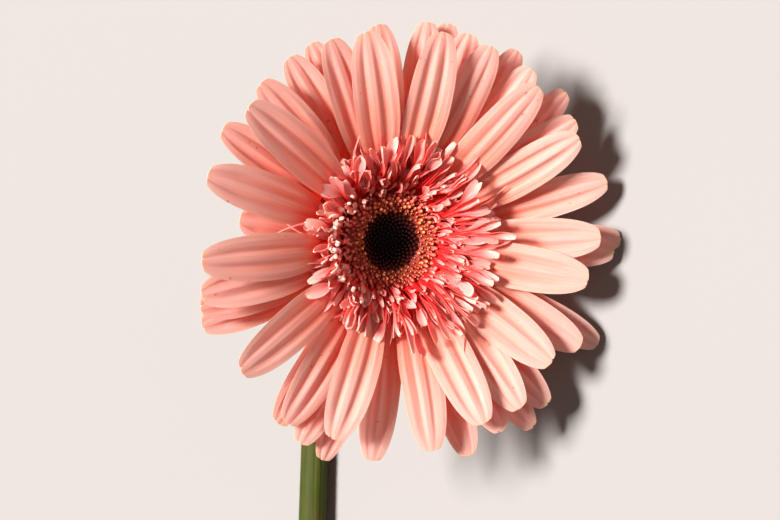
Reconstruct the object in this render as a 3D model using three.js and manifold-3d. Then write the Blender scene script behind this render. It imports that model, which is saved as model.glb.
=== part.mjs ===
// A cut gerbera, a large salmon-pink daisy on a leafless stem, laid down on a flat surface.
// It rests along its stem and on the tips of the ray florets on its right. Its face is turned up and to +X.
// Millimetres, +Z up. The stem runs to -Y. The origin is at the middle of the bounding box's underside.
//
// The head is made in a frame of its own: +Z out of its face, +Y at twelve o'clock, azimuths in degrees
// clockwise from +Y, and the origin at the middle of the ring of open disc florets.

import * as THREE from "three";
import { mergeVertices } from "three/addons/utils/BufferGeometryUtils.js";
import Module from "manifold-3d";

const wasm = await Module();
wasm.setup();

const DEG = Math.PI / 180;
const GAP = 0.3; // between pieces that meet

// ---- Pose of the head

const HEAD_LEAN = 46; // degrees that the face leans from straight up towards +X
const HEAD_NOD = 6; // degrees that it nods towards the stem

// ---- Scape: the receptacle that the florets stand on, the neck and the stem

const RECEPTACLE_TOP = -10.5;
const MARGIN_INNER = 12.6; // the receptacle's margin slopes down from here
const MARGIN_OUTER = 18;
const MARGIN_DROP = 2.4;
const NECK_BEND_RADIUS = 22;
const STEM_LENGTH = 250; // the part that lies straight
const STEM_RADIUS = 3.7;
const STEM_FOOT_RADIUS = 4.2;
const STEM_SWAY = 5; // sideways, at the middle of the stem
const STEM_CUT_SLANT = 35; // degrees between the cut and a square one
const STEM_SIDES = 12;

// ---- Ray florets. Level 2 lies on top and grows innermost. Level -2 lies underneath and grows outermost.

const TOP_LEVEL = 2;
const RAY_TIPS = [
  // azimuths of the tips, from the top level down
  [9, 42, 103, 130, 157, 203, 236, 267, 309, 347],
  [25, 62, 91, 145, 173, 216, 258, 289, 338],
  [19, 39, 58, 121, 152, 189, 217, 254, 317, 353],
  [8, 77, 95, 138, 162, 208, 249, 278, 302, 328],
  [15, 35, 52, 92, 118, 144, 200, 336],
];
const RAY_LENGTH = 48; // at level 0
const RAY_LENGTH_STEP = 1; // longer for each level up
const RAY_LENGTH_SPREAD = 2; // longer for each level on its long side, and shorter on the other
const RAY_LONG_SIDE = 300; // azimuth of the top level's long side, opposite the bottom level's
const RAY_DROOP = 1.5; // longer on the heavy side of the head
const RAY_DROOP_SIDE = 150;
const STUNTED_RAY = { tip: 278, length: 27 };
const RAY_WIDTH = 9.9; // at level 0
const RAY_WIDTH_STEP = 0.5; // wider for each level up
const RAY_SWIRL = 9; // degrees from a ray's tip to its foot, where the rays lean sideways most
const RAY_SWIRL_SIDE = 40; // azimuth at which they do, clockwise there and anticlockwise opposite
const RAY_FOOT_RADIUS = 13.1; // of the top level
const RAY_FOOT_STEP = 1.15; // outwards for each level down
const RAY_RISE = [[0, 81], [0.45, 21], [1, 6]]; // degrees above the face at shares of the length, level 0
const RAY_RISE_STEP = 2.4; // for each level up
const RAY_THICKNESS = 0.6;
const RAY_EDGE_LIFT = 0.3; // the two edges turn up
const RAY_GROOVE = 0.4; // depth of the two grooves beside the midrib
const RAY_CLAW = 0.24; // width of the foot, as a share of the full width
const RAY_WIDEST = 0.55; // share of the length at which a ray reaches its full width
const RAY_TIP = 0.36; // width of the blunt tip, as a share of the full width
const RAY_SHARES = [0, 0.12, 0.24, 0.36, 0.48, 0.74, 0.91, 1]; // of the length, where the sections stand

// ---- Crowns: short straps on a ring. Trans florets stand between the disc and the rays, and bracts
// behind the rays. A foot is [radius, height], and a strap climbs at rise[0] degrees there and at
// rise[1] at its tip.

const TRANS_THICKNESS = 0.4;
const TRANS_ROWS = [
  { name: "trans_florets_inner", count: 18, foot: [10.6, -10.2], rise: [82, 62], length: 17, width: 2 },
  { name: "trans_florets_middle", count: 20, foot: [11.4, -10.2], rise: [83, 50], length: 20, width: 2.3 },
  { name: "trans_florets_outer", count: 22, foot: [12.2, -10.2], rise: [84, 42], length: 22.5, width: 2.6 },
];
const BRACT_THICKNESS = 0.7;
const BRACT_ROWS = [
  { name: "involucre_inner_bracts", count: 13, foot: [12.3, -16.5], rise: [0, 80], length: 17, width: 5 },
  { name: "involucre_outer_bracts", count: 13, foot: [9, -18.2], rise: [-13.5, 62], length: 18.6, width: 4.6 },
];
const CROWN_SHARES = [0.05, 0.35, 0.7, 1];
const CROWN_OUTLINE = [0.8, 0.95, 1, 0.4]; // width at each of those shares
const CROWN_RING_SHARE = 0.2; // of the length, that the straps' ring takes
const CROWN_RING_SPARE = 0.1; // that the ring is thicker by on either side
const CROWN_SEGMENTS = 36;

// ---- Disc, as [radius, height] outlines about the head's axis

const DISC_FOOT = RECEPTACLE_TOP + GAP;
const DISC_FLORETS = [
  [4, DISC_FOOT],
  [8.6, DISC_FOOT],
  [10.2, -4],
  [12, -1.3],
  [10.6, 0],
  [8, -0.6],
  [6.4, -2.8],
  [4, DISC_FOOT],
];
const DISC_BUDS = [
  [0, DISC_FOOT],
  [3.6, DISC_FOOT],
  [5.8, -4.4],
  [4.6, -3.3],
  [2.2, -3],
  [0, -3],
];

// ---- Materials

const matte = (color) => new THREE.MeshStandardMaterial({ color, roughness: 0.65, metalness: 0 });
const PETAL = matte(0xf2a090);
const TRANS = matte(0xe8696a);
const DISC = matte(0x9c4a2c);
const BUD = matte(0x1c0f0c);
const STEM = matte(0x6b7a2c);
const BRACT = matte(0x4c6b2b);

// ---- Shared geometry

const smooth = (t) => t * t * (3 - 2 * t);
const cosine = (degrees) => Math.cos(degrees * DEG);

// The direction of an azimuth in the plane of the face, and the direction clockwise from it.
const outward = (azimuth) => new THREE.Vector3(Math.sin(azimuth * DEG), Math.cos(azimuth * DEG), 0);
const clockwise = (azimuth) => new THREE.Vector3(Math.cos(azimuth * DEG), -Math.sin(azimuth * DEG), 0);

function named(name, geometry, material) {
  const mesh = new THREE.Mesh(geometry, material.clone());
  mesh.name = name;
  return mesh;
}

// Skins a row of sections with equal numbers of points, each running clockwise as seen along the row, and
// closes both ends. endFaces(start, middle) lists an end's triangles, anticlockwise from past the far end.
function skin(sections, endFaces, middles = []) {
  const n = sections[0].length;
  const last = (sections.length - 1) * n;
  const index = [];
  for (let a = 0; a < last; a++) {
    const b = a % n === n - 1 ? a + 1 - n : a + 1;
    index.push(a, b, b + n, a, b + n, a + n);
  }
  for (const face of endFaces(0, last + n)) index.push(...face.reverse());
  for (const face of endFaces(last, last + n + 1)) index.push(...face);
  const geometry = new THREE.BufferGeometry().setFromPoints([...sections.flat(), ...middles]);
  geometry.setIndex(index);
  return geometry;
}

// How far share t of a strap's length lies along and up from its foot, and its angle there. Rise lists
// [share, degrees], and the strap bends evenly from each pair to the next.
function climb(rise, length, t) {
  let [along, up, angle] = [0, 0, rise[0][1] * DEG];
  for (let k = 1; k < rise.length && t > rise[k - 1][0]; k++) {
    const [[t0, from], [t1, to]] = [rise[k - 1], rise[k]];
    const share = Math.min(t, t1) - t0;
    const bend = ((to - from) * DEG) / (t1 - t0);
    angle = from * DEG + bend * share;
    along += (length * (Math.sin(angle) - Math.sin(from * DEG))) / bend;
    up += (length * (Math.cos(from * DEG) - Math.cos(angle))) / bend;
  }
  return { along, up, angle };
}

// Stations along the middle of a strap that leaves foot [radius, height] on a heading.
function strapStations({ footAzimuth, heading, foot, rise, length }, shares) {
  const ahead = outward(heading);
  const side = clockwise(heading);
  const start = outward(footAzimuth).multiplyScalar(foot[0]).setZ(foot[1]);
  return shares.map((t) => {
    const { along, up, angle } = climb(rise, length, t);
    const at = start.clone().addScaledVector(ahead, along).add(new THREE.Vector3(0, 0, up));
    const normal = ahead.clone().multiplyScalar(-Math.sin(angle)).setZ(Math.cos(angle));
    return { t, at, side, normal };
  });
}

// A thin strap. Its section's columns are [place across from -1 to 1, lift above the middle line].
function strap(stations, halfWidth, thickness, columns) {
  const sections = stations.map(({ t, at, side, normal }) => {
    const face = (offset) =>
      columns.map(([across, lift]) =>
        at
          .clone()
          .addScaledVector(side, across * halfWidth(t))
          .addScaledVector(normal, lift(t) + offset),
      );
    return [...face(thickness / 2), ...face(-thickness / 2).reverse()];
  });
  const lastPoint = 2 * columns.length - 1;
  return skin(sections, (start) =>
    columns.slice(1).flatMap((_, j) => {
      const [a, b] = [start + j, start + j + 1];
      const [c, d] = [start + lastPoint - j - 1, start + lastPoint - j];
      return [[a, b, c], [a, c, d]];
    }),
  );
}

// A round rod through a row of points with a radius at each, its far end cut at a slant.
function rod(points, radii, sides, slant) {
  const last = points.length - 1;
  const up = new THREE.Vector3(0, 0, 1);
  const sections = points.map((point, i) => {
    const tangent = points[Math.min(i + 1, last)].clone().sub(points[Math.max(i - 1, 0)]).normalize();
    up.addScaledVector(tangent, -up.dot(tangent)).normalize();
    const side = up.clone().cross(tangent);
    const push = i === last ? Math.tan(slant * DEG) : 0;
    return Array.from({ length: sides }, (_, k) => {
      const above = radii[i] * Math.sin((2 * Math.PI * k) / sides);
      const across = radii[i] * Math.cos((2 * Math.PI * k) / sides);
      return point
        .clone()
        .addScaledVector(side, across)
        .addScaledVector(up, above)
        .addScaledVector(tangent, above * push);
    });
  });
  const fan = (start, middle) =>
    Array.from({ length: sides }, (_, k) => [middle, start + k, start + ((k + 1) % sides)]);
  return skin(sections, fan, [points[0], points[last]]);
}

// A closed outline of [radius, height] pairs turned about the head's axis.
function turned(outline, segments) {
  const points = outline.map(([radius, height]) => new THREE.Vector2(radius, height));
  return new THREE.LatheGeometry(points, segments).rotateX(90 * DEG);
}

// Joins geometries that run into each other.
function join(geometries) {
  const solids = geometries.map((geometry) => {
    const bare = geometry.clone();
    bare.deleteAttribute("normal");
    bare.deleteAttribute("uv");
    const { attributes, index } = mergeVertices(bare, 1e-4);
    const vertProperties = attributes.position.array;
    const triVerts = new Uint32Array(index.array);
    return new wasm.Manifold(new wasm.Mesh({ numProp: 3, vertProperties, triVerts }));
  });
  const { vertProperties, triVerts } = solids.reduce((a, b) => a.add(b)).getMesh();
  return new THREE.BufferGeometry()
    .setAttribute("position", new THREE.BufferAttribute(vertProperties, 3))
    .setIndex(new THREE.BufferAttribute(triVerts, 1));
}

// ---- Ray florets

// Half a ray's outline as a share of its width: a narrow claw, widest past the middle, then a blunt tip.
function rayOutline(t) {
  if (t < RAY_WIDEST) return RAY_CLAW + (1 - RAY_CLAW) * smooth(t / RAY_WIDEST);
  return Math.max(RAY_TIP, Math.sqrt(1 - ((t - RAY_WIDEST) / (1 - RAY_WIDEST)) ** 2.6));
}

// A foot on the sloping margin of the receptacle, as [radius, height].
function rayFoot(level) {
  const radius = RAY_FOOT_RADIUS + RAY_FOOT_STEP * (TOP_LEVEL - level);
  const slope = MARGIN_DROP / (MARGIN_OUTER - MARGIN_INNER);
  return [radius, RECEPTACLE_TOP - slope * (radius - MARGIN_INNER) + 2 * GAP];
}

function rayLength(tip, level) {
  if (tip === STUNTED_RAY.tip) return STUNTED_RAY.length;
  const spread = RAY_LENGTH_SPREAD * level * cosine(tip - RAY_LONG_SIDE);
  return RAY_LENGTH + RAY_LENGTH_STEP * level + spread + RAY_DROOP * cosine(tip - RAY_DROOP_SIDE);
}

function rayFloret({ tip, level }) {
  const length = rayLength(tip, level);
  const width = RAY_WIDTH + RAY_WIDTH_STEP * level;
  const footAzimuth = tip + RAY_SWIRL * cosine(tip - RAY_SWIRL_SIDE);
  const foot = rayFoot(level);
  const rise = RAY_RISE.map(([share, angle]) => [share, angle + RAY_RISE_STEP * level]);
  const reach = climb(rise, length, 1).along;
  // The heading that carries the strap from its foot to the azimuth of its tip.
  const heading = tip - Math.asin((foot[0] * Math.sin((footAzimuth - tip) * DEG)) / reach) / DEG;
  const stations = strapStations({ footAzimuth, heading, foot, rise, length }, RAY_SHARES);
  const relief = (t) => rayOutline(t) * Math.min(1, 3 * t);
  const edge = (t) => RAY_EDGE_LIFT * relief(t);
  const groove = (t) => -RAY_GROOVE * relief(t);
  const columns = [[-1, edge], [-0.42, groove], [0, () => 0], [0.42, groove], [1, edge]];
  return strap(stations, (t) => (width / 2) * rayOutline(t), RAY_THICKNESS, columns);
}

// ---- Crowns

// The ring that a crown's straps grow from: the first stretch of a strap, turned about the axis.
function crownRing(place, thickness) {
  const stations = strapStations({ ...place, footAzimuth: 0, heading: 0 }, [0, CROWN_RING_SHARE]);
  const [bottom, top] = stations.map(({ at, normal }) =>
    [-0.5, 0.5].map((half) => {
      const point = at.clone().addScaledVector(normal, half * thickness);
      return [point.y, point.z];
    }),
  );
  return turned([bottom[0], top[0], top[1], bottom[1], bottom[0]], CROWN_SEGMENTS);
}

function crown({ name, count, width, foot, rise, length }, thickness, turn, material) {
  const place = { foot, rise: [[0, rise[0]], [1, rise[1]]], length };
  const halfWidth = (t) => (width / 2) * CROWN_OUTLINE[CROWN_SHARES.indexOf(t)];
  const flat = [[-1, () => 0], [1, () => 0]];
  const straps = Array.from({ length: count }, (_, k) => {
    const azimuth = (360 * (k + turn)) / count;
    const stations = strapStations({ ...place, footAzimuth: azimuth, heading: azimuth }, CROWN_SHARES);
    return strap(stations, halfWidth, thickness, flat);
  });
  const ring = crownRing(place, thickness + 2 * CROWN_RING_SPARE);
  return named(name, join([ring, ...straps]), material);
}

// ---- The head, lying on its lowest ray tips

const head = new THREE.Group();
head.rotation.set(HEAD_NOD * DEG, HEAD_LEAN * DEG, 0);
const rays = RAY_TIPS.flatMap((tips, k) => tips.map((tip) => ({ tip, level: TOP_LEVEL - k })));
rays.sort((a, b) => a.tip - b.tip);
rays.forEach((ray, k) => {
  head.add(named(`ray_floret_${String(k + 1).padStart(2, "0")}`, rayFloret(ray), PETAL));
});
head.position.z = -new THREE.Box3().setFromObject(head, true).min.z;
TRANS_ROWS.forEach((row, k) => head.add(crown(row, TRANS_THICKNESS, k / 2, TRANS)));
BRACT_ROWS.forEach((row, k) => head.add(crown(row, BRACT_THICKNESS, k / 2, BRACT)));
head.add(named("disc_florets", turned(DISC_FLORETS, 28), DISC));
head.add(named("disc_buds", turned(DISC_BUDS, 20), BUD));

// ---- The scape: down the head's axis from the receptacle, round the neck, and along the surface

const FAR = MARGIN_DROP - RECEPTACLE_TOP; // from the face to the margin's rim
const RECEPTACLE = [
  // [distance behind the face, radius]
  [-RECEPTACLE_TOP, MARGIN_INNER],
  [FAR, MARGIN_OUTER],
  [FAR + 0.7, MARGIN_OUTER - 0.8],
  [FAR + 1.3, 11.5],
  [FAR + 3.2, 7.2],
  [FAR + 6, 5.2],
  [FAR + 9.5, 4.2],
];

function scape() {
  const back = new THREE.Vector3(0, 0, -1).applyEuler(head.rotation);
  const away = new THREE.Vector3(0, -1, 0);
  const onAxis = (distance) => head.position.clone().addScaledVector(back, distance);

  // The neck rounds the corner where the head's axis comes down to the stem's height.
  const corner = onAxis((STEM_RADIUS - head.position.z) / back.z);
  const tangentLength = NECK_BEND_RADIUS * Math.tan(back.angleTo(away) / 2);
  const neckStart = corner.clone().addScaledVector(back, -tangentLength);
  const neckEnd = corner.clone().addScaledVector(away, tangentLength);
  const neck = new THREE.QuadraticBezierCurve3(neckStart, corner, neckEnd).getPoints(9);

  const steps = 10;
  const stem = Array.from({ length: steps }, (_, k) => {
    const t = (k + 1) / steps;
    const radius = THREE.MathUtils.lerp(STEM_RADIUS, STEM_FOOT_RADIUS, t);
    const sway = STEM_SWAY * Math.sin(Math.PI * t) * t;
    return neckEnd
      .clone()
      .addScaledVector(away, STEM_LENGTH * t)
      .add(new THREE.Vector3(sway, 0, radius - STEM_RADIUS));
  });

  const points = [...RECEPTACLE.map(([distance]) => onAxis(distance)), ...neck, ...stem];
  const radii = [
    ...RECEPTACLE.map(([, radius]) => radius),
    ...neck.map(() => STEM_RADIUS),
    ...stem.map(({ z }) => z),
  ];
  return named("scape", rod(points, radii, STEM_SIDES, STEM_CUT_SLANT), STEM);
}

// ---- The whole flower, moved so that the origin is at the middle of its box's underside

const group = new THREE.Group();
group.add(head, scape());
const box = new THREE.Box3().setFromObject(group, true);
const middle = box.getCenter(new THREE.Vector3());
group.position.set(-middle.x, -middle.y, -box.min.z);

export default group;
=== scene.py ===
"""The looks of the cut gerbera: every petal, floret, bract and hair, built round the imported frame.

Shapes are worked out in millimetres in the head's own frame, where +Z comes out of the face, +Y is
twelve o'clock and azimuths run clockwise. They are turned into the row frame, in metres, at the end.
"""

import math

import bpy
import numpy as np
from mathutils import Matrix, Vector


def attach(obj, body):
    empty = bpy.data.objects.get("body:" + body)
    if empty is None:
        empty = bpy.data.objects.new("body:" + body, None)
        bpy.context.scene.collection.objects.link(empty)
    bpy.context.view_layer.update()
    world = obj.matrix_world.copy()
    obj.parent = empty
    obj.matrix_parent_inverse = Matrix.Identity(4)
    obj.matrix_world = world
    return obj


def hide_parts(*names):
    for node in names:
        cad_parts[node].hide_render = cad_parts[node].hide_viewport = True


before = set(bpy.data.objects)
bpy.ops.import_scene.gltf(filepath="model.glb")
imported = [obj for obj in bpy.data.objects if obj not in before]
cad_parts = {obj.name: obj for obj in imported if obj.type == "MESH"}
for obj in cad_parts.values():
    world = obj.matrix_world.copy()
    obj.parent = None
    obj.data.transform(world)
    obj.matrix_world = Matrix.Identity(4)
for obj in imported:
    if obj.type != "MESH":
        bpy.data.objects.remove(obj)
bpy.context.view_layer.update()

MM = 0.001
GOLDEN_ANGLE = 137.508
random = np.random.default_rng(47)

# ---- The head's pose and the stem, as in the CAD model

HEAD_LEAN = 46  # degrees from straight up towards +X
HEAD_NOD = 6  # degrees towards the stem
RECEPTACLE_TOP = -10.5
NECK_BEND_RADIUS = 22
STEM_LENGTH = 250
STEM_RADIUS = 3.7
STEM_FOOT_RADIUS = 4.2
STEM_SWAY = 5
STEM_CUT_SLANT = 35

# ---- The view: the camera stands off the face, which is turned away from it a little

FACE_TURN = 20  # degrees between the view and the face, sideways
FACE_NOD = 6  # and up or down
VIEW_DISTANCE = 620
VIEW_AIM = (0.5, -6.0)  # right of and above the disc's middle
VIEW_LENS = 115.6


def rotation_x(angle):
    """Turns about X by an angle in degrees."""
    return np.array(Matrix.Rotation(math.radians(angle), 3, "X"))


def rotation_y(angle):
    """Turns about Y by an angle in degrees."""
    return np.array(Matrix.Rotation(math.radians(angle), 3, "Y"))


def node_points(node):
    """The distinct vertices of a CAD node, in millimetres in the row frame."""
    points = np.array([v.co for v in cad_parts[node].data.vertices]) / MM
    return np.unique(points.round(3), axis=0)


HEAD_AXES = rotation_x(HEAD_NOD) @ rotation_y(HEAD_LEAN)  # its columns are the head's axes
BUDS_TOP = -3  # height of the top of the CAD node disc_buds


def find_head_origin():
    """The middle of the ring of disc florets, from the turned CAD solid in the middle of the head."""
    local = node_points("disc_buds") @ HEAD_AXES
    low, high = local.min(0), local.max(0)
    return HEAD_AXES @ np.array([(low[0] + high[0]) / 2, (low[1] + high[1]) / 2, high[2] - BUDS_TOP])


HEAD_ORIGIN = find_head_origin()


def to_head(points):
    """Turns points from the row frame into the head's."""
    return (points - HEAD_ORIGIN) @ HEAD_AXES


def from_head(points):
    """Turns points from the head's frame into the row frame."""
    return points @ HEAD_AXES.T + HEAD_ORIGIN


def outward(azimuth):
    """Unit vector in the plane of the face at an azimuth in degrees."""
    a = np.radians(azimuth)
    return np.stack([np.sin(a), np.cos(a), np.zeros_like(a)], -1)


def clockwise(azimuth):
    """Unit vector in the plane of the face, square to the azimuth."""
    a = np.radians(azimuth)
    return np.stack([np.cos(a), -np.sin(a), np.zeros_like(a)], -1)


def smooth(t):
    """Eases from 0 to 1 as t goes from 0 to 1."""
    t = np.clip(t, 0, 1)
    return t * t * (3 - 2 * t)


def vary(amount):
    """A random number between plus and minus an amount."""
    return random.uniform(-amount, amount)


# ---- Camera, light and floor


def place_camera():
    """Points the camera at the face. Returns the view's axes as columns: right, up and back."""
    view = HEAD_AXES @ (rotation_x(FACE_NOD) @ rotation_y(FACE_TURN)).T
    right, up, back = view.T
    camera = bpy.data.objects.new("camera", bpy.data.cameras.new("camera"))
    bpy.context.scene.collection.objects.link(camera)
    place = HEAD_ORIGIN + back * VIEW_DISTANCE + right * VIEW_AIM[0] + up * VIEW_AIM[1]
    camera.matrix_world = Matrix.Translation(Vector(place * MM)) @ Matrix(view).to_4x4()
    camera.data.lens = VIEW_LENS
    camera.data.clip_start = 0.01
    bpy.context.scene.camera = camera
    return view


def add_sun(name, view, direction, softness, strength, color):
    """A broad far light from a direction in the view's right, up and back. Softness is its width in
    degrees."""
    light = bpy.data.lights.new(name, "SUN")
    light.angle = math.radians(softness)
    light.energy = strength
    light.color = color
    lamp = bpy.data.objects.new(name, light)
    bpy.context.scene.collection.objects.link(lamp)
    towards = Vector(view @ np.array(direction)).normalized()
    lamp.location = Vector(HEAD_ORIGIN * MM) + towards
    lamp.rotation_euler = towards.to_track_quat("Z", "Y").to_euler()


FLOOR_SIZE = 60  # metres, wide enough that its edge stays out of the pictures


def add_floor():
    """The plain pale surface that the flower lies on."""
    mesh = bpy.data.meshes.new("floor")
    half = FLOOR_SIZE / 2
    corners = [(-half, -half, 0), (half, -half, 0), (half, half, 0), (-half, half, 0)]
    mesh.from_pydata(corners, [], [(0, 1, 2, 3)])
    floor = bpy.data.objects.new("floor", mesh)
    bpy.context.scene.collection.objects.link(floor)
    material = bpy.data.materials.new("floor_paper")
    material.use_nodes = True
    shader = material.node_tree.nodes["Principled BSDF"]
    shader.inputs["Base Color"].default_value = (0.275, 0.272, 0.265, 1)
    shader.inputs["Roughness"].default_value = 0.9
    floor.data.materials.append(material)


def light_studio(view):
    """A key light on the view's left, a weak fill on its right and a faint warm surround."""
    add_sun("key", view, direction=(-0.68, 0.17, 0.71), softness=14, strength=9.4, color=(1.0, 0.94, 0.91))
    add_sun("fill", view, direction=(0.6, 0.3, 0.75), softness=60, strength=0.3, color=(1.0, 0.93, 0.88))
    world = bpy.data.worlds.new("studio")
    world.use_nodes = True
    background = world.node_tree.nodes["Background"]
    background.inputs["Color"].default_value = (1.0, 0.83, 0.74, 1)
    background.inputs["Strength"].default_value = 0.16
    bpy.context.scene.world = world
    bpy.context.scene.view_settings.view_transform = "Standard"


# ---- Meshes


SHARP_EDGE = math.radians(55)


class Pile:
    """Closed shapes made of four-sided faces, gathered into one object.

    Each point carries a mark (across, along, tone) for the material: -1 to 1 across a strap, 0 to 1 along
    it and a shade of its own, and a second mark, under, which is 1 on the underside.
    """

    def __init__(self):
        self.points = []
        self.quads = []
        self.marks = []
        self.under = []
        self.count = 0

    def add(self, points, quads, marks, under=None):
        self.points.append(points.reshape(-1, 3))
        self.quads.append(quads + self.count)
        self.marks.append(marks.reshape(-1, 3))
        self.under.append(np.zeros(len(self.points[-1])) if under is None else under.ravel())
        self.count += len(self.points[-1])

    def finish(self, name, node, slot, material, head=True):
        """Makes the object, in place of a CAD node."""
        points = np.concatenate(self.points)
        points = (from_head(points) if head else points) * MM
        quads = np.concatenate(self.quads)
        mesh = bpy.data.meshes.new(name)
        mesh.vertices.add(len(points))
        mesh.vertices.foreach_set("co", points.ravel())
        mesh.loops.add(quads.size)
        mesh.loops.foreach_set("vertex_index", quads.ravel())
        mesh.polygons.add(len(quads))
        mesh.polygons.foreach_set("loop_start", np.arange(0, quads.size, 4))
        mesh.update(calc_edges=True)
        mesh.polygons.foreach_set("use_smooth", np.ones(len(quads), bool))
        mesh.set_sharp_from_angle(angle=SHARP_EDGE)
        mesh.attributes.new("mark", "FLOAT_VECTOR", "POINT").data.foreach_set(
            "vector", np.concatenate(self.marks).astype(np.float32).ravel())
        mesh.attributes.new("under", "FLOAT", "POINT").data.foreach_set(
            "value", np.concatenate(self.under).astype(np.float32))
        mesh.materials.append(material)
        piece = bpy.data.objects.new(name, mesh)
        bpy.context.scene.collection.objects.link(piece)
        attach(piece, "root")
        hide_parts(node)


def strap_quads(rows, columns):
    """Faces of a closed strap: a top grid, then a bottom grid, and the rim between them."""
    top = np.arange(rows * columns).reshape(rows, columns)
    low = top + rows * columns

    def sheet(a):
        return np.stack([a[:-1, :-1], a[:-1, 1:], a[1:, 1:], a[1:, :-1]], -1).reshape(-1, 4)

    def rim(edge, under):
        return np.stack([edge[:-1], edge[1:], under[1:], under[:-1]], -1)

    return np.concatenate([
        sheet(top),
        sheet(low)[:, ::-1],
        rim(top[:, 0], low[:, 0]),
        rim(top[::-1, -1], low[::-1, -1]),
        rim(top[0, ::-1], low[0, ::-1]),
        rim(top[-1], low[-1]),
    ])


class Strap:
    """The bent sheet that a petal, a floret's lobe or a bract is drawn on.

    It leaves the point foot on a heading. Rise lists (share of the length, degrees above the face). Bow
    bends it sideways, hook bends its far end sideways and twist turns its far end about its length.
    """

    STEPS = 64
    HOOK_START = 0.6  # share of the length where the hook begins

    def __init__(self, foot, heading, rise, length, bow=0.0, twist=0.0, hook=0.0):
        t = np.linspace(0, 1, self.STEPS)
        angle = np.radians(np.interp(t, *zip(*rise)))
        self.t = t
        self.angle = angle
        self.length = length
        self.foot = np.asarray(foot, float)
        self.bow = bow
        self.hook = hook
        self.twist = math.radians(twist)
        self.ahead = outward(np.float64(heading))
        self.side = clockwise(np.float64(heading))
        self.along = self.travelled(np.cos(angle))
        self.up = self.travelled(np.sin(angle))

    def travelled(self, speed):
        """Running total of a rate along the length."""
        step = (speed[1:] + speed[:-1]) / 2 * self.length / (self.STEPS - 1)
        return np.concatenate([[0], np.cumsum(step)])

    def points(self, t, across, lift):
        """Points at shares t of the length, so many millimetres across and above the middle line."""
        angle = np.interp(t, self.t, self.angle)[..., None]
        along = np.interp(t, self.t, self.along)[..., None]
        up = np.interp(t, self.t, self.up)[..., None]
        z = np.array([0.0, 0.0, 1.0])
        normal = z * np.cos(angle) - self.ahead * np.sin(angle)
        turn = (self.twist * smooth(t))[..., None]
        side = self.side * np.cos(turn) + normal * np.sin(turn)
        normal = normal * np.cos(turn) - self.side * np.sin(turn)
        past = np.clip((t - self.HOOK_START) / (1 - self.HOOK_START), 0, 1)
        bend = self.bow * np.sin(math.pi * t) + self.hook * past**2
        centre = self.foot + self.ahead * along + z * up + self.side * bend[..., None]
        return centre + side * across[..., None] + normal * lift[..., None]


ROW_CROWDING = 0.9  # below 1, rows of points lie closer together towards the tip


def add_strap(pile, strap, rows, columns, half_width, relief, thickness, tip, tone):
    """Adds a closed strap. Relief and thickness are functions of the place across, v from -1 to 1, and the
    share of the length, t. Half_width is a function of t, and tip gives each column's own length from v."""
    v, t = np.meshgrid(np.linspace(-1, 1, columns), np.linspace(0, 1, rows) ** ROW_CROWDING)
    t = t * tip(v)
    across = v * half_width(t)
    lift = relief(v, t)
    half = thickness(v, t) / 2
    top = strap.points(t, across, lift + half)
    low = strap.points(t, across, lift - half)
    mark = np.stack([v, t, np.full_like(t, tone)], -1)
    under = np.stack([np.zeros_like(t), np.ones_like(t)])
    pile.add(np.stack([top, low]), strap_quads(rows, columns), np.stack([mark, mark]), under)


# ---- Materials


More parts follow.
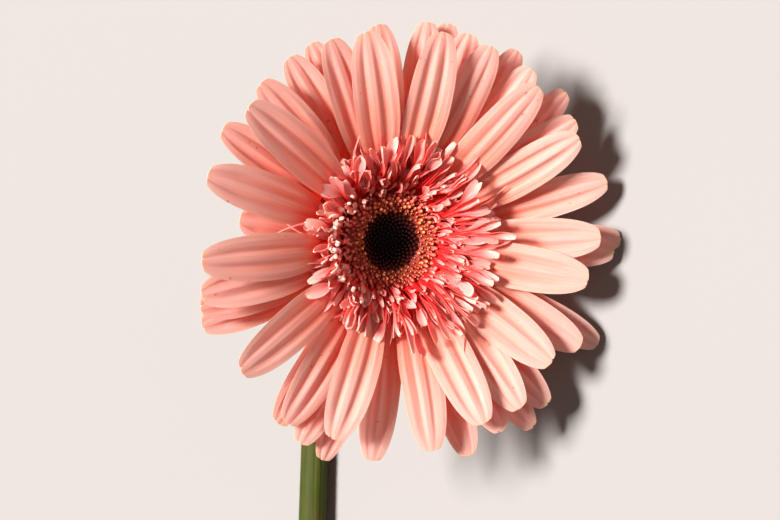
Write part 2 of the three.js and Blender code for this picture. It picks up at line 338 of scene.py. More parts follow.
class Shader:
    """A material's node tree, built with a few short calls that each return the socket to use next."""

    TONE_STEP = 37.0  # how far apart in the noise two straps with unlike tones lie

    def __init__(self, name):
        self.material = bpy.data.materials.new(name)
        self.material.use_nodes = True
        self.nodes = self.material.node_tree.nodes
        self.links = self.material.node_tree.links
        self.surface = self.nodes["Principled BSDF"]
        mark = self.node("ShaderNodeAttribute", attribute_name="mark")
        parts = self.node("ShaderNodeSeparateXYZ")
        self.links.new(mark.outputs["Vector"], parts.inputs[0])
        self.across, self.along, self.tone = parts.outputs
        self.under = self.node("ShaderNodeAttribute", attribute_name="under").outputs["Fac"]

    def node(self, kind, **settings):
        made = self.nodes.new(kind)
        for key, value in settings.items():
            setattr(made, key, value)
        return made

    def math(self, operation, a, b=0.0):
        made = self.node("ShaderNodeMath", operation=operation)
        for socket, value in zip(made.inputs, (a, b)):
            self.feed(socket, value)
        return made.outputs[0]

    def feed(self, socket, value):
        """Links or sets an input, whichever the value needs."""
        if isinstance(value, bpy.types.NodeSocket):
            self.links.new(value, socket)
        else:
            socket.default_value = value

    def ramp(self, fac, stops):
        """A colour for each place along fac: stops are (place, (red, green, blue))."""
        made = self.node("ShaderNodeValToRGB")
        elements = made.color_ramp.elements
        while len(elements) < len(stops):
            elements.new(0.5)
        for element, (place, color) in zip(elements, stops):
            element.position = place
            element.color = (*color, 1)
        self.feed(made.inputs[0], fac)
        return made.outputs["Color"]

    def curve(self, fac, stops):
        """A number for each place along fac: stops are (place, value)."""
        return self.ramp(fac, [(place, (value,) * 3) for place, value in stops])

    def mix(self, fac, a, b):
        """Colour a where fac is 0, and b where it is 1."""
        made = self.node("ShaderNodeMix", data_type="RGBA")
        self.feed(made.inputs["Factor"], fac)
        sockets = [s for s in made.inputs if s.type == "RGBA"]
        for socket, value in zip(sockets, (a, b)):
            self.feed(socket, value if isinstance(value, bpy.types.NodeSocket) else (*value, 1))
        return next(s for s in made.outputs if s.type == "RGBA")

    def streaks(self, across, along, detail=2.0):
        """Noise drawn out along a strap, so many cells over its width and its length."""
        place = self.node("ShaderNodeCombineXYZ")
        self.feed(place.inputs[0], self.math("MULTIPLY", self.across, across))
        self.feed(place.inputs[1], self.math("MULTIPLY", self.along, along))
        self.feed(place.inputs[2], self.math("MULTIPLY", self.tone, self.TONE_STEP))
        noise = self.node("ShaderNodeTexNoise")
        noise.inputs["Scale"].default_value = 1.0
        noise.inputs["Detail"].default_value = detail
        self.links.new(place.outputs[0], noise.inputs["Vector"])
        return noise.outputs["Fac"]

    def noise(self, size, detail=3.0):
        """Noise in space, with features of a size in millimetres."""
        place = self.node("ShaderNodeTexCoord").outputs["Object"]
        noise = self.node("ShaderNodeTexNoise")
        noise.inputs["Scale"].default_value = 1 / (size * MM)
        noise.inputs["Detail"].default_value = detail
        self.links.new(place, noise.inputs["Vector"])
        return noise.outputs["Fac"]

    def bump(self, height, depth, strength):
        """Raises the surface by a depth in millimetres where height is 1."""
        made = self.node("ShaderNodeBump")
        made.inputs["Distance"].default_value = depth * MM
        made.inputs["Strength"].default_value = strength
        self.feed(made.inputs["Height"], height)
        self.links.new(made.outputs[0], self.surface.inputs["Normal"])

    def glow(self, weight, radius, scale):
        """Light that wanders inside the tissue, its reach in millimetres."""
        self.surface.inputs["Subsurface Weight"].default_value = weight
        self.surface.inputs["Subsurface Radius"].default_value = radius
        self.surface.inputs["Subsurface Scale"].default_value = scale * MM

    def let_through(self, color, share):
        """Lets a share of the light from behind shine through the tissue in a colour."""
        thin = self.node("ShaderNodeBsdfTranslucent")
        thin.inputs["Color"].default_value = (*color, 1)
        blend = self.node("ShaderNodeMixShader")
        blend.inputs[0].default_value = share
        self.links.new(self.surface.outputs[0], blend.inputs[1])
        self.links.new(thin.outputs[0], blend.inputs[2])
        self.links.new(blend.outputs[0], self.nodes["Material Output"].inputs["Surface"])

    def finish(self, color, roughness):
        """Sets the surface's colour and roughness, and returns the material."""
        self.feed(self.surface.inputs["Base Color"], color)
        self.feed(self.surface.inputs["Roughness"], roughness)
        return self.material


def ray_material():
    s = Shader("ray_petal")
    # Deeper red towards the foot: partly the petal's own colour, partly painted shade and painted glow of
    # light through the petal near the crown.
    body = s.ramp(s.along, [
        (0.0, (0.72, 0.03, 0.02)),
        (0.28, (0.93, 0.13, 0.07)),
        (0.48, (0.97, 0.32, 0.22)),
        (0.72, (0.98, 0.49, 0.40)),
        (0.94, (0.97, 0.53, 0.45)),
        (1.0, (0.88, 0.56, 0.38)),
    ])
    streak = s.streaks(24, 2.5)
    body = s.mix(s.math("MULTIPLY", s.curve(streak, [(0.42, 0), (0.62, 1)]), 0.4), body, (0.98, 0.68, 0.62))
    # Painted shade: the grooves are coloured a deeper red than the ridges, as if they lay in shade.
    groove_shade_red = s.mix(0.85, body, (0.95, 0.18, 0.09))
    size = s.math("ABSOLUTE", s.across)
    groove = s.curve(size, [(0.1, 0), (0.36, 1), (0.62, 0), (1.0, 0)])
    groove = s.math("MULTIPLY", groove, s.curve(s.along, [(0.6, 0.5), (1.0, 0.0)]))
    body = s.mix(groove, body, groove_shade_red)
    edge = s.curve(size, [(0.0, 0), (0.92, 0), (1.0, 1)])
    body = s.mix(s.math("MULTIPLY", edge, 0.5), body, (0.95, 0.68, 0.52))
    body = s.mix(s.math("MULTIPLY", s.under, 0.3), body, (0.92, 0.42, 0.30))
    fleck = s.curve(s.noise(1.3, 0.0), [(0.83, 0), (0.86, 0.6)])
    body = s.mix(fleck, body, (0.40, 0.13, 0.05))
    s.bump(s.streaks(34, 5.0, 3.0), depth=0.12, strength=0.6)
    s.glow(weight=0.3, radius=(1.0, 0.25, 0.14), scale=1.6)
    s.let_through((1.0, 0.17, 0.09), share=0.3)
    s.surface.inputs["Specular IOR Level"].default_value = 0.35
    s.surface.inputs["Sheen Weight"].default_value = 0.08
    return s.finish(body, s.curve(streak, [(0.3, 0.42), (0.7, 0.56)]))


def trans_material():
    s = Shader("trans_petal")
    # Dark red down the stalks: partly the florets' own red, partly painted shade deep inside the crown.
    body = s.ramp(s.along, [
        (0.0, (0.60, 0.004, 0.010)),
        (0.5, (0.84, 0.022, 0.026)),
        (0.68, (0.93, 0.075, 0.07)),
        (0.8, (0.96, 0.20, 0.18)),
        (0.87, (0.97, 0.38, 0.35)),
        (0.94, (0.98, 0.55, 0.46)),
        (1.0, (0.98, 0.81, 0.64)),
    ])
    streak = s.streaks(7, 2.0)
    blade = s.curve(s.along, [(0.7, 0), (0.88, 0.5)])
    body = s.mix(s.math("MULTIPLY", s.curve(streak, [(0.4, 0), (0.65, 1)]), blade), body, (0.97, 0.60, 0.55))
    size = s.math("ABSOLUTE", s.across)
    edge = s.curve(size, [(0.0, 0), (0.7, 0), (1.0, 1)])
    tinge = s.math("MULTIPLY", edge, blade)
    body = s.mix(tinge, body, (0.98, 0.74, 0.62))
    red_back = s.curve(s.along, [(0.8, 0.5), (0.95, 0.0)])
    body = s.mix(s.math("MULTIPLY", s.under, red_back), body, (0.92, 0.16, 0.13))
    # Ordinary tones stay below 1, so only the knobs pass this: their swollen ends get a cream painted
    # highlight.
    is_knob = s.curve(s.tone, [(0.99, 0), (1.0, 1)])
    knob = s.math("MULTIPLY", is_knob, s.curve(s.along, [(0.89, 0), (0.92, 1)]))
    body = s.mix(knob, body, (0.98, 0.84, 0.72))
    s.bump(s.streaks(9, 2.0), depth=0.08, strength=0.5)
    s.glow(weight=0.3, radius=(1.0, 0.22, 0.16), scale=1.0)
    s.let_through((1.0, 0.09, 0.06), share=0.4)
    s.surface.inputs["Specular IOR Level"].default_value = 0.4
    return s.finish(body, s.curve(streak, [(0.3, 0.36), (0.7, 0.48)]))


def disc_material():
    s = Shader("disc")
    # Dark red low on the florets and on the bed between them: partly their own colour, partly painted shade
    # deep between the florets.
    body = s.ramp(s.along, [
        (0.0, (0.10, 0.003, 0.005)),
        (0.45, (0.32, 0.012, 0.010)),
        (0.70, (0.60, 0.07, 0.025)),
        (0.86, (0.86, 0.24, 0.07)),
        (0.94, (0.92, 0.52, 0.22)),
        (1.0, (0.95, 0.84, 0.56)),
    ])
    pink = s.mix(0.7, body, (0.90, 0.14, 0.13))
    body = s.mix(s.curve(s.tone, [(0.3, 0), (0.75, 1)]), body, pink)
    s.glow(weight=0.2, radius=(1.0, 0.3, 0.15), scale=0.5)
    s.let_through((1.0, 0.2, 0.06), share=0.2)
    return s.finish(body, s.curve(s.noise(0.3), [(0.3, 0.4), (0.7, 0.6)]))


def bud_material():
    s = Shader("disc_bud")
    body = s.ramp(s.along, [
        (0.0, (0.002, 0.001, 0.001)),
        (0.6, (0.006, 0.002, 0.002)),
        (0.9, (0.012, 0.004, 0.003)),
        (1.0, (0.03, 0.012, 0.009)),
    ])
    rim = s.mix(0.7, body, (0.10, 0.014, 0.01))
    s.surface.inputs["Specular IOR Level"].default_value = 0.15
    body = s.mix(s.curve(s.tone, [(0.6, 0), (1.0, 1)]), body, rim)
    return s.finish(body, s.curve(s.noise(0.4), [(0.3, 0.42), (0.7, 0.62)]))


def stem_material():
    s = Shader("stem")
    streak = s.streaks(9, 14.0, 4.0)
    # Olive greens, darker than the stem's own mid green: painted shade for the weaker light that reaches the
    # stem.
    body = s.ramp(streak, [
        (0.3, (0.020, 0.029, 0.003)),
        (0.5, (0.036, 0.048, 0.005)),
        (0.7, (0.060, 0.072, 0.009)),
    ])
    pale = s.curve(s.along, [(0.0, 0.5), (0.12, 0.1), (0.8, 0.0), (1.0, 0.35)])
    body = s.mix(pale, body, (0.10, 0.125, 0.025))
    receptacle_top = s.curve(s.along, [(0.0083, 1), (0.0093, 0)])
    body = s.mix(receptacle_top, body, (0.55, 0.04, 0.03))
    blotch = s.curve(s.noise(9), [(0.5, 0), (0.75, 1)])
    body = s.mix(s.math("MULTIPLY", blotch, 0.35), body, (0.08, 0.05, 0.015))
    s.bump(s.streaks(60, 90.0, 4.0), depth=0.12, strength=0.6)
    s.surface.inputs["Specular IOR Level"].default_value = 0.12
    s.glow(weight=0.12, radius=(0.6, 1.0, 0.2), scale=1.0)
    return s.finish(body, s.curve(streak, [(0.3, 0.42), (0.7, 0.6)]))


def flesh_material():
    s = Shader("stem_flesh")
    # Dark green at the middle, down in the hollow: painted shade. The paler flesh and green skin further out
    # are the stem's own colours.
    body = s.ramp(s.along, [
        (0.0, (0.06, 0.08, 0.02)),
        (0.34, (0.20, 0.24, 0.08)),
        (0.5, (0.62, 0.66, 0.38)),
        (0.84, (0.56, 0.62, 0.30)),
        (0.92, (0.24, 0.36, 0.08)),
        (1.0, (0.16, 0.24, 0.05)),
    ])
    body = s.mix(s.math("MULTIPLY", s.noise(0.5), 0.35), body, (0.42, 0.40, 0.18))
    s.bump(s.noise(0.35), depth=0.1, strength=0.5)
    s.glow(weight=0.3, radius=(0.7, 1.0, 0.3), scale=1.0)
    return s.finish(body, s.curve(s.noise(0.6), [(0.3, 0.3), (0.7, 0.5)]))


def bract_material():
    s = Shader("bract")
    body = s.ramp(s.along, [
        (0.0, (0.10, 0.15, 0.03)),
        (0.5, (0.06, 0.11, 0.02)),
        (0.85, (0.08, 0.10, 0.025)),
        (1.0, (0.20, 0.06, 0.04)),
    ])
    streak = s.streaks(14, 3.0)
    body = s.mix(s.math("MULTIPLY", s.curve(streak, [(0.4, 0), (0.65, 1)]), 0.4), body, (0.15, 0.20, 0.06))
    edge = s.curve(s.math("ABSOLUTE", s.across), [(0.0, 0), (0.8, 0), (1.0, 1)])
    body = s.mix(s.math("MULTIPLY", edge, 0.5), body, (0.26, 0.30, 0.13))
    s.bump(s.streaks(20, 14.0), depth=0.1, strength=0.6)
    s.glow(weight=0.1, radius=(0.6, 1.0, 0.2), scale=0.6)
    return s.finish(body, s.curve(streak, [(0.3, 0.5), (0.7, 0.68)]))


# ---- Ray florets

RAY_RISE = [(0, 81), (0.45, 21), (1, 6)]  # as in the CAD model's middle level
RAY_END_POINTS = 10  # how many of the solid's points are taken for its foot, and for its tip
RAY_CLAW = 0.24  # width of the narrow foot over the full width
RAY_WIDEST = 0.6  # share of the length where the ray is widest
RAY_BLUNTNESS = 2.9  # exponent of the outline past the widest place
RAY_SPREAD = 1.07  # width over that of the CAD solid, whose coarser outline is blunter
RAY_TIP_SHARE = 0.985  # of the length that the outline would come to a point at
GROOVE_WIDTH = 0.19  # over half the width of the ray
VEIN_DEPTH = 0.05
VEIN_WAVES = 21  # radians of the veins' wave over half the width


def ray_plan(node):
    """Reads a ray floret's foot, heading, rise, length and width off its CAD solid."""
    points = to_head(node_points(node))
    foot = points[np.argsort(points[:, 2])[:RAY_END_POINTS]].mean(0)
    reach = np.linalg.norm(points - foot, axis=1)
    tip = points[np.argsort(reach)[-RAY_END_POINTS:]].mean(0)
    run = tip - foot
    heading = math.degrees(math.atan2(run[0], run[1]))
    # A strap of unit length shows how much shorter the chord is than the strap, and how steep.
    unit = Strap(foot, heading, RAY_RISE, 1)
    along, up = unit.along[-1], unit.up[-1]
    length = np.linalg.norm(run) / math.hypot(along, up)
    lean = math.degrees(math.atan2(run[2], math.hypot(run[0], run[1])) - math.atan2(up, along))
    rise = [(share, angle + lean) for share, angle in RAY_RISE]
    width = np.ptp(points @ clockwise(np.float64(heading))) * RAY_SPREAD
    return foot, heading, rise, length, width


def ray_outline(t):
    """Half the width over the full half width, along a ray floret."""
    x = np.clip((t - RAY_WIDEST) / (1 - RAY_WIDEST), 0, 1)
    opening = RAY_CLAW + (1 - RAY_CLAW) * smooth(t / RAY_WIDEST)
    return np.where(t < RAY_WIDEST, opening, np.sqrt(1 - x**RAY_BLUNTNESS))


def ray_floret(node, material):
    """A cupped petal with two grooves, fine veins and a small notch, in place of its CAD solid."""
    foot, heading, rise, length, width = ray_plan(node)
    strap = Strap(foot, heading, rise, length / RAY_TIP_SHARE, bow=vary(0.5), twist=vary(7))
    groove_depth = random.uniform(0.45, 0.8)
    cup = random.uniform(-0.35, 0.55)  # how far the edges turn up
    groove_at = random.uniform(0.32, 0.4)
    notch = random.uniform(0.0, 0.014)
    notch_side = random.choice([-1, 1])
    lean = vary(0.3)
    ripple = random.uniform(0.04, 0.16)
    phase = random.uniform(0, 2 * math.pi)

    def relief(v, t):
        fade = ray_outline(t) * np.minimum(1, 4 * t) * (1 - 0.75 * smooth((t - 0.8) / 0.19))
        size = np.abs(v)
        grooves = -groove_depth * np.exp(-(((size - groove_at) / GROOVE_WIDTH) ** 2))
        veins = VEIN_DEPTH * np.cos(v * VEIN_WAVES + phase) * (1 - size**4)
        edges = cup * size**2.2 + lean * v * size + ripple * size**3 * np.sin(9 * t + phase + 2 * v)
        return fade * (grooves + veins + edges)

    def tip(v):
        size = np.abs(v)
        tooth = notch * np.exp(-(((v * notch_side - groove_at) / 0.1) ** 2))
        return RAY_TIP_SHARE - 0.01 * size**2 - tooth

    pile = Pile()
    add_strap(
        pile, strap, rows=58, columns=33,
        half_width=lambda t: width / 2 * ray_outline(t),
        relief=relief,
        thickness=lambda v, t: 0.09 + 0.3 * (1 - v * v) + 0.5 * np.clip(1 - 5 * t, 0, 1),
        tip=tip,
        tone=random.uniform(0, 1),
    )
    pile.finish(node.replace("floret", "petal"), node, "ray_petal", material)


# ---- Trans florets

DISC_CENTRE = np.array([1.6, -1.7, 0.0])  # the disc sits a little off the head's axis
TRANS_ROWS = [
    # node, count, foot radius, rise at the foot and the tip, length, half width
    ("trans_florets_outer", 44, 12.4, (86, 12), 28.0, 1.3),
    ("trans_florets_outer", 48, 12.1, (86, 16), 26.2, 1.25),
    ("trans_florets_middle", 52, 11.8, (86, 20), 24.4, 1.2),
    ("trans_florets_middle", 54, 11.5, (86, 26), 22.6, 1.15),
    ("trans_florets_middle", 56, 11.3, (86, 32), 20.8, 1.1),
    ("trans_florets_inner", 56, 11.1, (86, 40), 19.2, 1.0),
    ("trans_florets_inner", 56, 10.9, (86, 50), 17.6, 0.85),
    ("trans_florets_inner", 58, 10.6, (86, 60), 16.0, 0.65),
    ("trans_florets_inner", 60, 10.3, (86, 68), 14.4, 0.45),
]
TRANS_OUTER_FOOT = TRANS_ROWS[0][2]
TRANS_INNER_FOOT = TRANS_ROWS[-1][2]
FLORET_FOOT = RECEPTACLE_TOP + 0.3  # height of the feet of the crown and the disc
LONGEST_SIDE = 140  # azimuth at which the crown spreads widest


def trans_foot(azimuth, radius):
    """A floret's foot: the innermost stand round the disc and the outermost round the head's axis."""
    share = np.interp(radius, [TRANS_INNER_FOOT, TRANS_OUTER_FOOT], [0.9, 0.1])
    height = np.array([0, 0, FLORET_FOOT])
    return outward(np.float64(azimuth)) * radius + DISC_CENTRE * share + height


def trans_outline(t):
    """A thin stalk that opens into a spoon with a round end."""
    x = np.clip((t - 0.86) / 0.14, 0, 1)
    return (0.25 + 0.75 * smooth((t - 0.72) / 0.15)) * np.sqrt(np.clip(1 - x**2.6, 0, 1))


def trans_floret(pile, azimuth, foot_radius, rise, length, half_width):
    """A floret of the crown: a stalk that stands up, leans out and ends in a twisted blade."""
    spread = 1 + 0.08 * math.cos(math.radians(azimuth - LONGEST_SIDE))
    length = length * spread * random.uniform(0.84, 1.1)
    half_width = half_width * random.uniform(0.65, 1.35)
    tilt = vary(13)
    curl = random.uniform(-60, 70)  # the blade turns down or up
    middle = rise[0] * 0.45 + rise[1] * 0.55 + tilt
    blade = rise[1] + tilt
    angles = [(0, rise[0]), (0.35, rise[0] - 10), (0.6, middle), (0.8, blade), (1, blade + curl)]
    foot = trans_foot(azimuth, foot_radius)
    strap = Strap(foot, azimuth + vary(30), angles, length, bow=vary(1.6), twist=vary(70))
    cup = random.uniform(0.0, 0.8) * half_width
    pinch = random.uniform(0.0, 0.03)

    def relief(v, t):
        return (cup * v * v - 0.1 * np.exp(-((v / 0.25) ** 2))) * smooth((t - 0.5) / 0.3)

    add_strap(
        pile, strap, rows=22, columns=9,
        half_width=lambda t: half_width * trans_outline(t),
        relief=relief,
        thickness=lambda v, t: 0.05 + 0.25 * (1 - v * v),
        tip=lambda v: 0.985 - 0.01 * v * v - pinch * np.exp(-((v / 0.3) ** 2)),
        tone=random.uniform(0, 1),
    )


CURLED_LOBES = 26
THREADY_SIDE = 265  # azimuth round which thread-like lobes crowd and the knobs with painted highlights stand


def curled_lobe(pile, azimuth):
    """One of the thread-like inner lobes, which hook over the ray florets."""
    angles = [(0, 84), (0.45, 58), (0.66, 24), (1, random.uniform(-50, 20))]
    hook = random.choice([-1, 1]) * random.uniform(3, 9)
    length = random.uniform(24, 31)
    strap = Strap(trans_foot(azimuth, 12.1), azimuth + vary(25), angles, length, vary(2), vary(60), hook)
    add_strap(
        pile, strap, rows=30, columns=5,
        half_width=lambda t: 0.34 * np.sqrt(np.clip(1.02 - t**4, 0, 1)),
        relief=lambda v, t: 0.12 * v * v,
        thickness=lambda v, t: 0.1 + 0.14 * (1 - v * v),
        tip=lambda v: 0.995 - 0.004 * v * v,
        tone=random.uniform(0, 1),
    )


HIGHLIGHT_KNOBS = 42
KNOB_START = 0.87  # share of the length where the swollen end begins
HIGHLIGHT_KNOB_TONE = 2  # past the tones of ordinary florets, which paints the end cream as a highlight


def highlight_knob(pile, azimuth):
    """A short upright lobe of the crown's inner wall with a swollen end, painted cream as a highlight."""
    angles = [(0, 86), (0.5, 72), (0.85, 58), (1, 58 + vary(60))]
    foot = trans_foot(azimuth, random.uniform(11.4, 12.2))
    strap = Strap(foot, azimuth + vary(30), angles, random.uniform(18, 22.5), vary(1), vary(60))
    swell = random.uniform(0.3, 0.5)

    def half_width(t):
        end = np.clip((t - 0.93) / 0.07, 0, 1)
        return (0.2 + swell * smooth((t - KNOB_START) / 0.06)) * np.sqrt(np.clip(1.02 - end**2.4, 0, 1))

    add_strap(
        pile, strap, rows=26, columns=7,
        half_width=half_width,
        relief=lambda v, t: 0.1 * v * v,
        thickness=lambda v, t: (0.12 + 0.5 * smooth((t - KNOB_START) / 0.06)) * (1.02 - v * v),
        tip=lambda v: 0.995 - 0.004 * v * v,
        tone=HIGHLIGHT_KNOB_TONE,
    )


def trans_florets(material):
    """The crown: rows of florets, then the lobes that stick out of them."""
    piles = {}
    for row, (node, count, radius, rise, length, half_width) in enumerate(TRANS_ROWS):
        pile = piles.setdefault(node, Pile())
        for k in range(count):
            azimuth = 360 * (k + 0.5 * (row % 2)) / count + vary(3)
            trans_floret(pile, azimuth, radius + vary(0.25), rise, length, half_width)
    for k in range(CURLED_LOBES):
        azimuth = THREADY_SIDE + vary(45) if k % 2 else GOLDEN_ANGLE * k
        curled_lobe(piles["trans_florets_outer"], azimuth)
    for _ in range(HIGHLIGHT_KNOBS):
        highlight_knob(piles["trans_florets_inner"], THREADY_SIDE + vary(42))
    for node, pile in piles.items():
        pile.finish(node.replace("trans_florets", "trans_petals"), node, "trans_petal", material)


# ---- Disc

DISC_INNER = 7.3  # radii of the ring of open florets
DISC_OUTER = 12.9
BUD_HEIGHT = -3.0
OPEN_SPACING = 0.59  # of the spirals
BUD_SPACING = 0.56
OPEN_LENGTH = 3.2  # of the part of a floret's tube that shows
SWOLLEN_SHARE = 0.8  # of the florets at the outer edge that are still swollen buds
UP = np.array([0, 0, 1.0])
OPEN_GROUND = [
    # radius, height of the bed that the open florets stand in
    (4.4, FLORET_FOOT),
    (8.0, FLORET_FOOT),
    (10.4, -4.6),
    (12.2, -2.6),
    (10.8, -1.5),
    (8.6, -2.1),
    (6.6, -3.9),
    (4.4, FLORET_FOOT),
]
BUD_GROUND = [(0.0, FLORET_FOOT), (3.8, FLORET_FOOT), (6.4, -4.6), (3.0, -4.0), (0.0, -4.0)]


def disc_height(radius):
    """Height of the domed ring of open florets at a radius."""
    heights = [BUD_HEIGHT, BUD_HEIGHT, -2.2, -0.8, -0.1, -1.2]
    return np.interp(radius, [0, 5, 7.2, 8.6, 10.6, 13.2], heights)


def disc_lean(radius):
    """How far a floret leans outwards at a radius, in degrees."""
    return np.interp(radius, [0, 5, 8, 12.2], [0, -6, 6, 30])


def spiral(spacing, outer):
    """The places of a sunflower spiral out to a radius: number and radius."""
    k = 0
    while spacing * math.sqrt(k + 0.5) < outer:
        yield k, spacing * math.sqrt(k + 0.5)
        k += 1


def tube_quads(rings, sides):
    """Faces of a tube of rings, open at both ends."""
    grid = np.arange(rings * sides).reshape(rings, sides)
    turned = np.roll(grid, -1, axis=1)
    return np.stack([grid[:-1], turned[:-1], turned[1:], grid[1:]], -1).reshape(-1, 4)


def add_tube(pile, base, axis, profile, sides, marks, tone, lobes=0, lobe_depth=0.0):
    """A turned shape on an axis from base: profile is (radius, height) from the bottom up. Lobes cut its
    last rings into a star."""
    axis = axis / np.linalg.norm(axis)
    a = np.cross(axis, [0.31, 0.87, 0.39])
    a /= np.linalg.norm(a)
    b = np.cross(axis, a)
    angle = np.linspace(0, 2 * math.pi, sides, endpoint=False)
    radius, height = np.array(profile, float).T
    share = np.linspace(0, 1, len(profile)) ** 3
    wave = 1 - lobe_depth * share[:, None] * (0.5 - 0.5 * np.cos(lobes * angle))[None]
    ring = np.cos(angle)[:, None] * a + np.sin(angle)[:, None] * b
    points = base + (radius[:, None] * wave)[..., None] * ring + height[:, None, None] * axis
    mark = np.zeros(points.shape)
    mark[..., 1] = np.asarray(marks)[:, None]
    mark[..., 2] = tone
    pile.add(points, tube_quads(len(profile), sides), mark)


def disc_floret(pile, radius, azimuth):
    """A swollen bud, more often towards the edge, or an open floret: a tube with a star-shaped mouth and the
    pale column that stands out of it."""
    lean = math.radians(disc_lean(radius) + vary(9))
    out = outward(np.float64(azimuth))
    sideways = clockwise(np.float64(azimuth)) * vary(0.15)
    axis = out * math.sin(lean) + np.array([0, 0, math.cos(lean)]) + sideways
    top = DISC_CENTRE + out * radius + np.array([0, 0, disc_height(radius) + vary(0.45)])
    base = top - axis * OPEN_LENGTH
    tone = np.clip((radius - DISC_INNER) / (DISC_OUTER - DISC_INNER) + vary(0.15), 0, 1)
    if random.uniform(0, 1) < tone * SWOLLEN_SHARE:
        bud = [(0.22, 0), (0.3, 1.5), (0.46, 2.7), (0.5, 3.2), (0.42, 3.6), (0.2, 3.9), (0.0, 3.95)]
        marks = [0.1, 0.4, 0.62, 0.74, 0.86, 0.97, 1.0]
        add_tube(pile, base, axis, bud, 8, marks, tone, lobes=5, lobe_depth=0.15)
        return
    mouth = 0.44 * random.uniform(0.7, 1.15)
    tube = [
        (0.2, 0),
        (0.24, 1.5),
        (0.3, 2.5),
        (mouth * 0.8, 2.95),
        (mouth, OPEN_LENGTH),
        (mouth * 0.96, 3.22),
        (mouth * 0.55, 3.0),
        (0.12, 2.5),
    ]
    marks = [0.1, 0.4, 0.6, 0.76, 0.88, 0.86, 0.66, 0.4]
    add_tube(pile, base, axis, tube, 10, marks, tone, lobes=5, lobe_depth=0.5)
    stand = random.uniform(3.35, 4.1)
    column = [(0.09, 2.4), (0.1, stand - 0.35), (0.15, stand - 0.15), (0.11, stand), (0.0, stand + 0.06)]
    add_tube(pile, base, axis, column, 6, [0.6, 0.8, 0.93, 1.0, 1.0], tone)


def disc_florets(material):
    """The ring of open florets, on a bed."""
    pile = Pile()
    add_tube(pile, DISC_CENTRE, UP, OPEN_GROUND, 64, [0.3] * len(OPEN_GROUND), 0.6)
    for k, radius in spiral(OPEN_SPACING, DISC_OUTER):
        if radius > DISC_INNER:
            disc_floret(pile, radius + vary(0.12), GOLDEN_ANGLE * k + vary(2))
    pile.finish("open_disc_florets", "disc_florets", "disc", material)


def disc_buds(material):
    """The dark middle of closed buds, on a bed."""
    pile = Pile()
    add_tube(pile, DISC_CENTRE, UP, BUD_GROUND, 40, [0.0] * len(BUD_GROUND), 0.0)
    for k, radius in spiral(BUD_SPACING, DISC_INNER + 0.1):
        azimuth = GOLDEN_ANGLE * k
        size = 0.30 + 0.03 * radius
        lean = math.radians(disc_lean(radius) + vary(4))
        out = outward(np.float64(azimuth))
        axis = out * math.sin(lean) + np.array([0, 0, math.cos(lean)])
        top = DISC_CENTRE + out * radius + np.array([0, 0, disc_height(radius) + vary(0.08)])
        bud = [
            (size * 0.6, -1.4),
            (size, -0.7),
            (size * 1.02, -0.35),
            (size * 0.7, -0.1),
            (size * 0.25, 0.02),
            (0.0, 0.04),
        ]
        marks = [0.0, 0.3, 0.6, 0.85, 1.0, 1.0]
        add_tube(pile, top, axis, bud, 8, marks, radius / DISC_INNER, lobes=5, lobe_depth=0.25)
    pile.finish("closed_disc_buds", "disc_buds", "disc_bud", material)


# ---- Involucre

BRACT_ROWS = [
    # node, count, foot radius, foot height, rise at the foot and the tip, length, half width
    ("involucre_inner_bracts", 21, 12.3, -16.5, (0, 80), 17.5, 2.3),
    ("involucre_outer_bracts", 19, 9.0, -18.2, (-13.5, 62), 18.6, 2.1),
    ("involucre_outer_bracts", 13, 7.0, -18.6, (-20, 48), 14.0, 1.8),
]


def bract(pile, azimuth, radius, height, rise, length, half_width):
    """A pointed green bract with a keel."""
    foot = outward(np.float64(azimuth)) * radius + np.array([0, 0, height])
    angles = [(0, rise[0]), (0.5, (rise[0] + rise[1]) / 2 + vary(3)), (1, rise[1] + vary(8))]
    strap = Strap(foot, azimuth + vary(4), angles, length * random.uniform(0.9, 1.06), vary(0.4), vary(14))
    add_strap(
        pile, strap, rows=26, columns=11,
        half_width=lambda t: half_width * np.sqrt(np.clip(1 - t**1.7, 0, 1)) * (0.75 + 0.25 * smooth(t * 3)),
        relief=lambda v, t: 0.45 * v * v - 0.18 * np.exp(-((v / 0.2) ** 2)),
        thickness=lambda v, t: 0.15 + 0.35 * (1 - v * v) * (1 - 0.6 * t),
        tip=lambda v: 0.995 + 0 * v,
        tone=random.uniform(0, 1),
    )


def involucre(material):
    """The rows of bracts that hold the head from behind."""
    piles = {}
    for row, (node, count, radius, height, rise, length, half_width) in enumerate(BRACT_ROWS):
        pile = piles.setdefault(node, Pile())
        for k in range(count):
            azimuth = 360 * (k + 0.5 * (row % 2)) / count + vary(2)
            bract(pile, azimuth, radius, height, rise, length, half_width)
    for node, pile in piles.items():
        pile.finish(node.replace("involucre_", "green_"), node, "bract", material)


# ---- Scape: receptacle, neck and stem

MARGIN_DROP = 2.4  # how far the receptacle's rim lies below its top
FAR = MARGIN_DROP - RECEPTACLE_TOP  # from the face to the rim
RECEPTACLE = [
    # distance behind the face, radius
    (-RECEPTACLE_TOP, 0.5),
    (-RECEPTACLE_TOP, 12.6),
    (FAR, 18),
    (FAR + 0.7, 17.2),
    (FAR + 1.3, 11.5),
    (FAR + 2.2, 9),
    (FAR + 3.2, 7.2),
    (FAR + 6, 5.2),
    (FAR + 9.5, 4.2),
]
THROAT_STEPS = 6  # from the receptacle to the bend
NECK_STEPS = 28
STEM_STEPS = 90
STEM_SIDES = 48
STEM_RIBS = 9
RIB_DEPTH = 0.13
RIB_WANDER = 0.4  # how far the ribs turn about the stem and back, in radians of their wave
SWELL_DEPTH = 0.06
HAIR_COUNT = 3600
HAIR_CLEARANCE = 1.2  # height below which hairs would be pressed into the surface


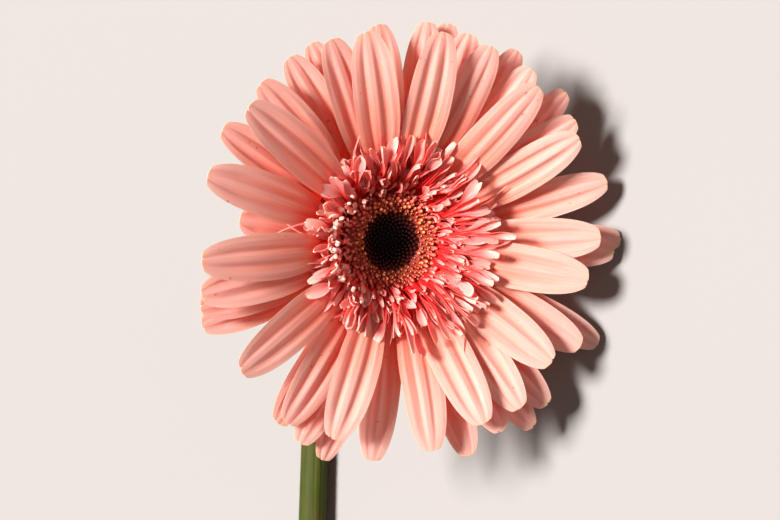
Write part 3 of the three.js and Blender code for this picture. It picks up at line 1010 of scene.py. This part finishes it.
def stem_path():
    """Points down the middle of the scape in the row frame, with the radius at each."""
    back = -HEAD_AXES[:, 2]
    away = np.array([0.0, -1.0, 0.0])
    corner = HEAD_ORIGIN + back * (STEM_RADIUS - HEAD_ORIGIN[2]) / back[2]
    reach = NECK_BEND_RADIUS * math.tan(math.acos(back @ away) / 2)
    start = corner - back * reach
    end = corner + away * reach
    top = [HEAD_ORIGIN + back * distance for distance, _ in RECEPTACLE]
    straight = np.linspace(top[-1], start, THROAT_STEPS)[1:-1]
    t = np.linspace(0, 1, NECK_STEPS)[:, None]
    neck = (1 - t) ** 2 * start + 2 * t * (1 - t) * corner + t * t * end
    t = np.linspace(0, 1, STEM_STEPS)[1:]
    radius = STEM_RADIUS + (STEM_FOOT_RADIUS - STEM_RADIUS) * t
    stem = end + away * (STEM_LENGTH * t)[:, None]
    stem[:, 0] += STEM_SWAY * np.sin(math.pi * t) * t
    stem[:, 2] += radius - STEM_RADIUS
    points = np.concatenate([top, straight, neck, stem])
    radii = np.concatenate([
        [r for _, r in RECEPTACLE],
        np.interp(np.linspace(0, 1, THROAT_STEPS)[1:-1], [0, 1], [RECEPTACLE[-1][1], STEM_RADIUS]),
        np.full(len(neck), STEM_RADIUS),
        radius,
    ])
    return points, radii


def frames_along(points):
    """Tangents and a pair of cross directions that don't twist, along a row of points."""
    tangents = np.gradient(points, axis=0)
    tangents[0] = tangents[1] = points[2] - points[0]
    tangents /= np.linalg.norm(tangents, axis=1)[:, None]
    ups = []
    up = np.array([0.0, 0.0, 1.0])
    for tangent in tangents:
        up = up - tangent * (up @ tangent)
        up = up / np.linalg.norm(up)
        ups.append(up)
    ups = np.array(ups)
    return tangents, ups, np.cross(ups, tangents)


def add_cut_end(pile, ring, middle, tangent):
    """The slanted cut: a rim of skin, pale flesh and a hollow in the middle. Each ring is a share of the
    stem's last ring, so far past it along the stem."""
    shares = np.array([1.0, 0.96, 0.9, 0.6, 0.42, 0.36, 0.2, 0.0])
    depths = np.array([0.0, 0.12, 0.02, -0.1, -0.3, -2.2, -4.0, -4.4])
    points = middle + (ring - middle) * shares[:, None, None] + tangent * depths[:, None, None]
    mark = np.zeros(points.shape)
    mark[..., 0] = np.linspace(-1, 1, ring.shape[0])
    mark[..., 1] = shares[:, None]
    pile.add(points, tube_quads(len(shares), ring.shape[0]), mark)


def scape(stem, flesh):
    """The skin of receptacle, neck and stem with its ribs and hairs, and the cut end."""
    points, radii = stem_path()
    tangents, ups, sides = frames_along(points)
    angle = np.linspace(0, 2 * math.pi, STEM_SIDES, endpoint=False)
    run = np.concatenate([[0], np.cumsum(np.linalg.norm(np.diff(points, axis=0), axis=1))])
    on_stem = smooth((run - run[len(RECEPTACLE) - 1]) / 8)
    wander = RIB_WANDER * np.sin(run / 40)[:, None]
    ribs = -RIB_DEPTH * (0.5 - 0.5 * np.cos(STEM_RIBS * angle + wander)) * on_stem[:, None]
    swell = -SWELL_DEPTH * (1 + np.sin(run / 11))[:, None] * on_stem[:, None]
    radius = radii[:, None] + ribs + swell
    across = radius * np.cos(angle)
    above = radius * np.sin(angle)
    push = np.zeros_like(above)
    push[-1] = above[-1] * math.tan(math.radians(STEM_CUT_SLANT))
    rings = (points[:, None] + across[..., None] * sides[:, None] + above[..., None] * ups[:, None]
             + push[..., None] * tangents[:, None])
    marks = np.zeros(rings.shape)
    marks[..., 0] = np.where(angle < math.pi, angle, 2 * math.pi - angle) / math.pi * 2 - 1
    marks[..., 1] = (run / run[-1])[:, None]
    pile = Pile()
    pile.add(rings, tube_quads(len(points), STEM_SIDES), marks)
    add_hairs(pile, points, radius, tangents, ups, sides, run)
    pile.finish("stem", "scape", "stem", stem, head=False)
    end = Pile()
    add_cut_end(end, rings[-1], points[-1], tangents[-1])
    end.finish("cut_end", "scape", "stem", flesh, head=False)


def add_hairs(pile, points, radius, tangents, ups, sides, run):
    """The short soft hairs that cover the stem."""
    first = len(RECEPTACLE)
    for _ in range(HAIR_COUNT):
        place = random.uniform(run[first], run[-1] - 6)
        i = int(np.searchsorted(run, place)) - 1
        share = (place - run[i]) / (run[i + 1] - run[i])
        angle = random.uniform(0, 2 * math.pi)
        out = math.cos(angle) * sides[i] + math.sin(angle) * ups[i]
        column = int(angle / (2 * math.pi) * STEM_SIDES)
        root = points[i] + (points[i + 1] - points[i]) * share + out * (radius[i, column] - 0.08)
        length = random.uniform(0.35, 0.8)
        if root[2] < HAIR_CLEARANCE:
            continue
        axis = out + tangents[i] * vary(0.5) + np.cross(out, tangents[i]) * vary(0.4)
        hair = [(0.035, 0), (0.022, length * 0.5), (0.004, length)]
        add_tube(pile, root, axis, hair, 3, [place / run[-1]] * 3, 0.0)


# ---- The flower

light_studio(place_camera())
add_floor()

petal = ray_material()
for name in sorted(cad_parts):
    if name.startswith("ray_floret"):
        ray_floret(name, petal)
trans_florets(trans_material())
disc_florets(disc_material())
disc_buds(bud_material())
involucre(bract_material())
scape(stem_material(), flesh_material())
